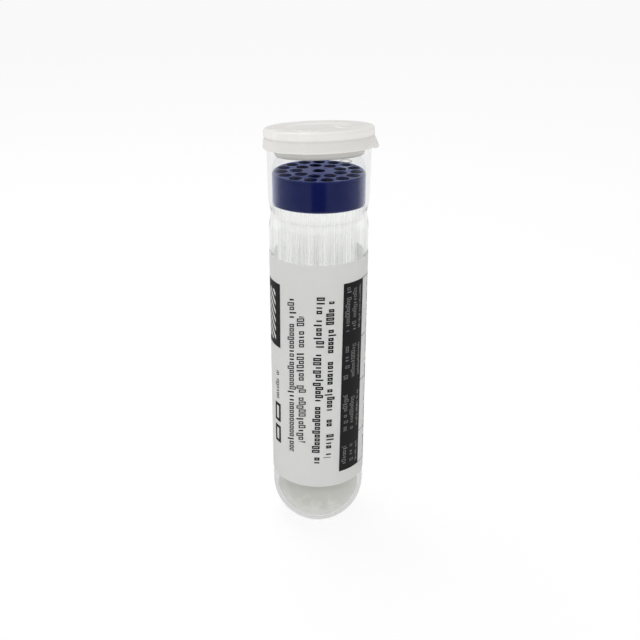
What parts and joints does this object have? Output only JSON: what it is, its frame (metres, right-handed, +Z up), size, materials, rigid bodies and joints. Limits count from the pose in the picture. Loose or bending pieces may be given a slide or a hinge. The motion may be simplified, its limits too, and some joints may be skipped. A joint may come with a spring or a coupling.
{
  "type": "capillary tube vial",
  "caption": "Clear glass vial with snap cap, waist and wrap label, holding thin glass capillary tubes hung by their funnels in a perforated disc.",
  "frame": {"origin": "centre of the flat foot that the vial stands on", "axes": "+Z up along the vial's axis, from the foot to the cap; -Y to the front of the label, +X to the cap's lift tab"},
  "size_m": [0.0283, 0.0276, 0.1108],
  "materials": {
    "vial_glass": "clear, polished",
    "tube_glass": "clear, very thin",
    "cap_plastic": "milky, translucent polyethylene",
    "disc_plastic": "moulded, dark blue",
    "label_paper": "smooth label paper",
    "cotton": "cotton wool"
  },
  "bodies": {
    "vial_body": {"vial": "vial_glass", "perforated_disc": "disc_plastic", "label": "label_paper", "cotton_pad": "cotton", "capillary_tube_01": "tube_glass", "capillary_tube_02": "tube_glass", "capillary_tube_03": "tube_glass", "capillary_tube_04": "tube_glass", "capillary_tube_05": "tube_glass", "capillary_tube_06": "tube_glass", "capillary_tube_07": "tube_glass", "capillary_tube_08": "tube_glass", "capillary_tube_09": "tube_glass", "capillary_tube_10": "tube_glass", "capillary_tube_11": "tube_glass", "capillary_tube_12": "tube_glass", "capillary_tube_13": "tube_glass", "capillary_tube_14": "tube_glass", "capillary_tube_15": "tube_glass", "capillary_tube_16": "tube_glass", "capillary_tube_17": "tube_glass", "capillary_tube_18": "tube_glass", "capillary_tube_19": "tube_glass", "capillary_tube_20": "tube_glass", "capillary_tube_21": "tube_glass", "capillary_tube_22": "tube_glass", "capillary_tube_23": "tube_glass", "capillary_tube_24": "tube_glass", "capillary_tube_25": "tube_glass"},
    "cap_body": {"snap_cap": "cap_plastic"}
  },
  "joints": [
    {"name": "cap_lift", "type": "slide", "parent": "vial_body", "child": "cap_body", "axis": [0, 0, 1], "range_m": [0, 0.02]}
  ]
}
